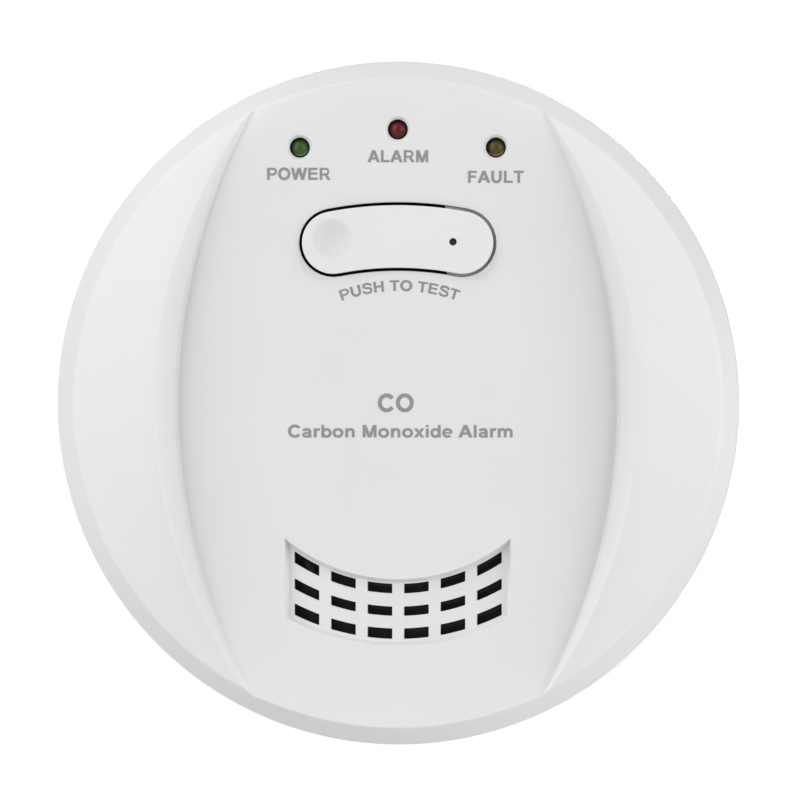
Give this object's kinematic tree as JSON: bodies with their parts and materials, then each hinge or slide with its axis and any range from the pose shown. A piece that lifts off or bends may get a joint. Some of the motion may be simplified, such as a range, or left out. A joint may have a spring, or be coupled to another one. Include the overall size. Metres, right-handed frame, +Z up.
{
  "type": "carbon monoxide detector",
  "caption": "Round battery carbon monoxide detector: two covers, press-to-test lever, three indicator LEDs, vent grille and a bayonet wall bracket.",
  "frame": {"origin": "centre of the wall bracket's back face, on the wall plane", "axes": "+Z up the wall (towards the LEDs), +Y into the wall, -Y out of the wall towards the front face, +X to the viewer's right"},
  "size_m": [0.106, 0.0368, 0.106],
  "materials": {
    "white_plastic": "fine moulded texture, satin",
    "button_plastic": "smooth satin",
    "led_green": "clear tinted epoxy, unlit",
    "led_red": "clear tinted epoxy, unlit",
    "led_amber": "clear tinted epoxy, unlit",
    "black_plastic": "satin",
    "circuit_board": "green solder mask",
    "bright_steel": "nickel plated",
    "zinc_screw": "zinc plated",
    "sensor_can": "drawn can",
    "filter_white": "sintered white membrane",
    "foam_black": "closed cell foam",
    "brass": "rolled",
    "piezo_ceramic": "silvered",
    "cell_jacket": "plain printed jacket",
    "wire_red": "insulation",
    "wire_black": "insulation",
    "label": "blank label",
    "plunger_grey": "satin"
  },
  "bodies": {
    "bracket": {"mounting_bracket": "white_plastic"},
    "button": {"test_button": "button_plastic"},
    "plunger": {"switch_plunger": "plunger_grey"},
    "door": {"battery_door": "white_plastic", "rating_label": "label"},
    "housing": {"front_cover": "white_plastic", "rear_cover": "white_plastic", "dust_screen": "black_plastic", "main_pcb": "circuit_board", "led_power": "led_green", "led_alarm": "led_red", "led_fault": "led_amber", "led_spacer_power": "black_plastic", "led_spacer_alarm": "black_plastic", "led_spacer_fault": "black_plastic", "co_sensor_can": "sensor_can", "co_sensor_filter": "filter_white", "co_sensor_gasket": "foam_black", "horn_housing": "black_plastic", "horn_diaphragm": "brass", "horn_ceramic": "piezo_ceramic", "switch_body": "black_plastic", "microcontroller": "black_plastic", "capacitor": "black_plastic", "inductor": "black_plastic", "crystal": "bright_steel", "horn_driver": "black_plastic", "battery_cell_a": "cell_jacket", "battery_cell_b": "cell_jacket", "contact_link": "bright_steel", "contact_positive": "bright_steel", "contact_negative": "bright_steel", "contact_spring_a": "bright_steel", "contact_spring_b": "bright_steel", "battery_lead_red": "wire_red", "battery_lead_black": "wire_black", "case_screw_1": "zinc_screw", "case_screw_2": "zinc_screw", "case_screw_3": "zinc_screw", "case_screw_4": "zinc_screw", "board_screw_1": "zinc_screw", "board_screw_2": "zinc_screw", "board_screw_3": "zinc_screw"}
  },
  "joints": [
    {"name": "detector_twist", "type": "hinge", "parent": "bracket", "child": "housing", "pos_m": [0, 0, 0], "axis": [0, -1, 0], "range_deg": [0, 8]},
    {"name": "test_button_press", "type": "hinge", "parent": "housing", "child": "button", "pos_m": [0.011, -0.0296, 0.0256], "axis": [0, 0, -1], "range_deg": [0, 2.6], "stiffness_Nm_per_rad": 0.15},
    {"name": "switch_plunger_travel", "type": "slide", "parent": "housing", "child": "plunger", "axis": [0, 1, 0], "range_m": [0, 0.0005]},
    {"name": "battery_door_hinge", "type": "hinge", "parent": "housing", "child": "door", "pos_m": [0, -0.0016, 0.0151], "axis": [1, 0, 0], "range_deg": [0, 100]}
  ],
  "couplings": [
    {"joint": "switch_plunger_travel", "follows": "test_button_press", "m_per_rad": 0.009}
  ]
}
